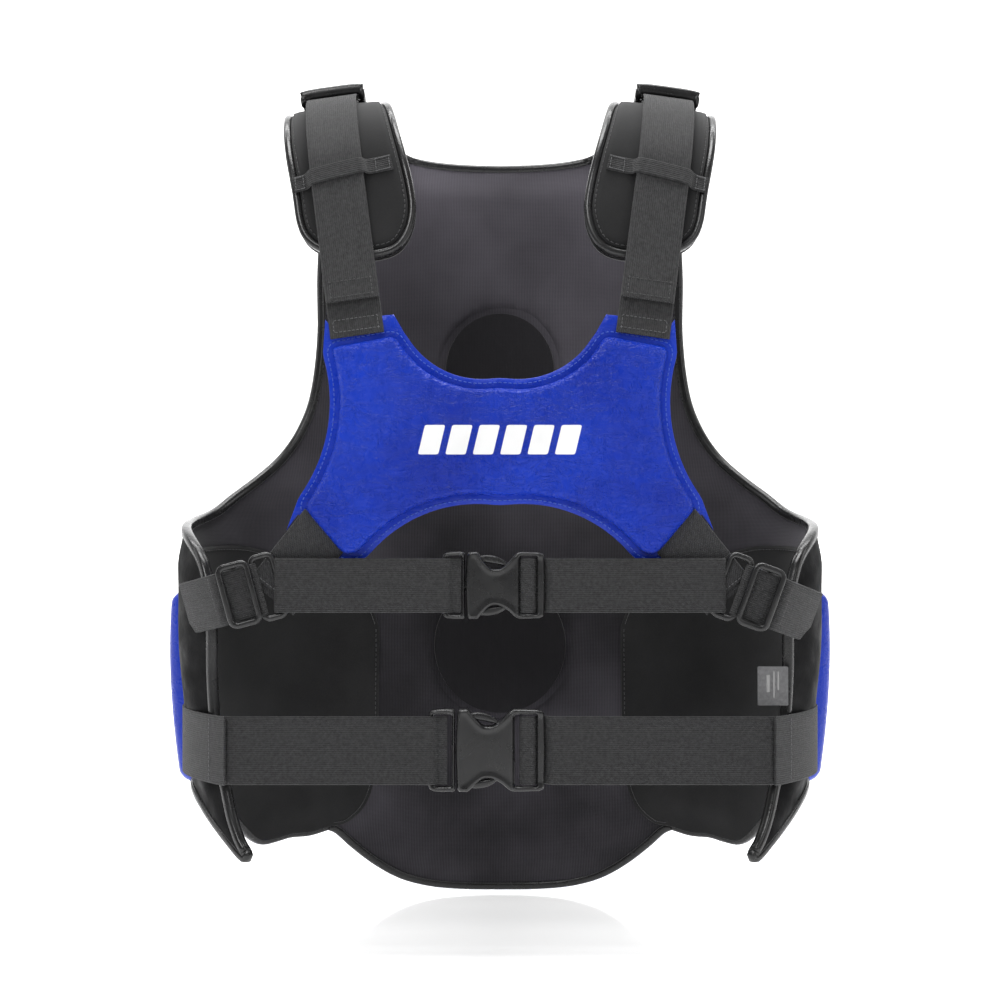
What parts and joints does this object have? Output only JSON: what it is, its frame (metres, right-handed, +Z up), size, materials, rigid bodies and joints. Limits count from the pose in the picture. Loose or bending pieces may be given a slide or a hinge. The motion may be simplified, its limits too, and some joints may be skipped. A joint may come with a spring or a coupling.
{
  "type": "chest protector",
  "caption": "Padded body protector with wrap-round wings, shoulder pads, padded back yoke and buckled back straps; worn to take body punches and kicks.",
  "frame": {"origin": "centre of the torso space between the wings, level with the bottoms of the armholes", "axes": "+X towards the wearer's right, +Y the way the wearer faces, +Z up"},
  "size_m": [0.515, 0.3055, 0.6537],
  "materials": {
    "foam": "matte",
    "knit_lining": "matte",
    "smooth_lining": "matte",
    "black_leather": "gloss",
    "blue_leather": "satin",
    "target_leather": "satin",
    "pad_fabric": "matte",
    "webbing": "matte",
    "black_plastic": "satin",
    "tag_fabric": "matte"
  },
  "bodies": {
    "shell": {"armhole_bindings": "black_leather", "belly_target": "target_leather", "chest_lining": "knit_lining", "chest_target": "target_leather", "diagonal_webbings": "webbing", "front_cover": "black_leather", "front_foam": "foam", "hem_binding": "black_leather", "left_rib_pad_cover": "blue_leather", "left_ring": "black_plastic", "left_wing_cover": "black_leather", "left_wing_foam": "foam", "left_wing_strap": "webbing", "lower_buckle_socket": "black_plastic", "lower_side_bands": "webbing", "lower_socket_loop": "webbing", "lower_strap_left": "webbing", "lower_strap_right": "webbing", "main_pad_cover": "blue_leather", "main_pad_foam": "foam", "neck_binding": "black_leather", "rear_bindings": "black_leather", "recess_linings": "knit_lining", "rib_pad_foams": "foam", "right_rib_pad_cover": "blue_leather", "right_ring": "black_plastic", "right_wing_cover": "black_leather", "right_wing_foam": "foam", "right_wing_strap": "webbing", "shoulder_keepers": "webbing", "shoulder_pad_covers": "pad_fabric", "shoulder_pad_foams": "foam", "shoulder_pad_linings": "smooth_lining", "shoulder_pad_piping": "black_leather", "shoulder_tails": "webbing", "shoulder_webbings": "webbing", "side_linings": "smooth_lining", "upper_buckle_socket": "black_plastic", "upper_socket_loop": "webbing", "upper_strap_left": "webbing", "upper_strap_right": "webbing", "yoke_backing": "smooth_lining", "yoke_cover": "blue_leather", "yoke_foam": "foam"},
    "upper_plug": {"upper_buckle_plug": "black_plastic", "upper_plug_loop": "webbing"},
    "upper_prong_high": {"upper_top_prong": "black_plastic"},
    "upper_prong_low": {"upper_bottom_prong": "black_plastic"},
    "lower_plug": {"lower_buckle_plug": "black_plastic", "lower_plug_loop": "webbing"},
    "lower_prong_high": {"lower_top_prong": "black_plastic"},
    "lower_prong_low": {"lower_bottom_prong": "black_plastic"},
    "left_glide": {"left_tri_glide": "black_plastic"},
    "right_glide": {"right_tri_glide": "black_plastic"},
    "left_slider": {"left_shoulder_slider": "black_plastic"},
    "right_slider": {"right_shoulder_slider": "black_plastic"},
    "left_tail": {"left_shoulder_tail_end": "webbing"},
    "right_tail": {"right_shoulder_tail_end": "webbing"},
    "tag": {"side_tag": "tag_fabric"}
  },
  "joints": [
    {"name": "upper_buckle_release", "type": "slide", "parent": "shell", "child": "upper_plug", "axis": [-1, 0, 0], "range_m": [0, 0.045], "deforming": ["upper_strap_left", "upper_top_prong", "upper_bottom_prong"]},
    {"name": "upper_prong_high_squeeze", "type": "hinge", "parent": "upper_plug", "child": "upper_prong_high", "pos_m": [-0.024, -0.1265, -0.026], "axis": [0, 1, 0], "range_deg": [0, 6], "stiffness_Nm_per_rad": 0.05},
    {"name": "upper_prong_low_squeeze", "type": "hinge", "parent": "upper_plug", "child": "upper_prong_low", "pos_m": [-0.024, -0.1265, -0.064], "axis": [0, -1, 0], "range_deg": [0, 6], "stiffness_Nm_per_rad": 0.05},
    {"name": "lower_buckle_release", "type": "slide", "parent": "shell", "child": "lower_plug", "axis": [-1, 0, 0], "range_m": [0, 0.045], "deforming": ["lower_strap_left", "lower_top_prong", "lower_bottom_prong"]},
    {"name": "lower_prong_high_squeeze", "type": "hinge", "parent": "lower_plug", "child": "lower_prong_high", "pos_m": [-0.031, -0.1265, -0.1385], "axis": [0, 1, 0], "range_deg": [0, 6], "stiffness_Nm_per_rad": 0.05},
    {"name": "lower_prong_low_squeeze", "type": "hinge", "parent": "lower_plug", "child": "lower_prong_low", "pos_m": [-0.031, -0.1265, -0.1875], "axis": [0, -1, 0], "range_deg": [0, 6], "stiffness_Nm_per_rad": 0.05},
    {"name": "left_glide_adjust", "type": "slide", "parent": "shell", "child": "left_glide", "axis": [-0.9659, 0, -0.2588], "range_m": [-0.002, 0.006]},
    {"name": "right_glide_adjust", "type": "slide", "parent": "shell", "child": "right_glide", "axis": [0.9397, 0, -0.342], "range_m": [-0.002, 0.006]},
    {"name": "left_slider_adjust", "type": "hinge", "parent": "shell", "child": "left_slider", "pos_m": [-0.115, 0, 0.224], "axis": [0.9903, 0, 0.1392], "range_deg": [-4, 4]},
    {"name": "right_slider_adjust", "type": "hinge", "parent": "shell", "child": "right_slider", "pos_m": [0.115, 0, 0.224], "axis": [0.9903, 0, -0.1392], "range_deg": [-4, 4]},
    {"name": "left_tail_lift", "type": "hinge", "parent": "shell", "child": "left_tail", "pos_m": [-0.11792, -0.10299, 0.24475], "axis": [-0.9903, 0, -0.1392], "range_deg": [0, 45]},
    {"name": "right_tail_lift", "type": "hinge", "parent": "shell", "child": "right_tail", "pos_m": [0.11792, -0.10299, 0.24475], "axis": [-0.9903, 0, 0.1392], "range_deg": [0, 45]},
    {"name": "tag_flip", "type": "hinge", "parent": "shell", "child": "tag", "pos_m": [0.2076, -0.1174, -0.118], "axis": [0, 0, 1], "range_deg": [0, 60], "stiffness_Nm_per_rad": 0.002}
  ],
  "couplings": [
    {"joint": "upper_prong_low_squeeze", "follows": "upper_prong_high_squeeze", "ratio": 1},
    {"joint": "lower_prong_low_squeeze", "follows": "lower_prong_high_squeeze", "ratio": 1}
  ]
}
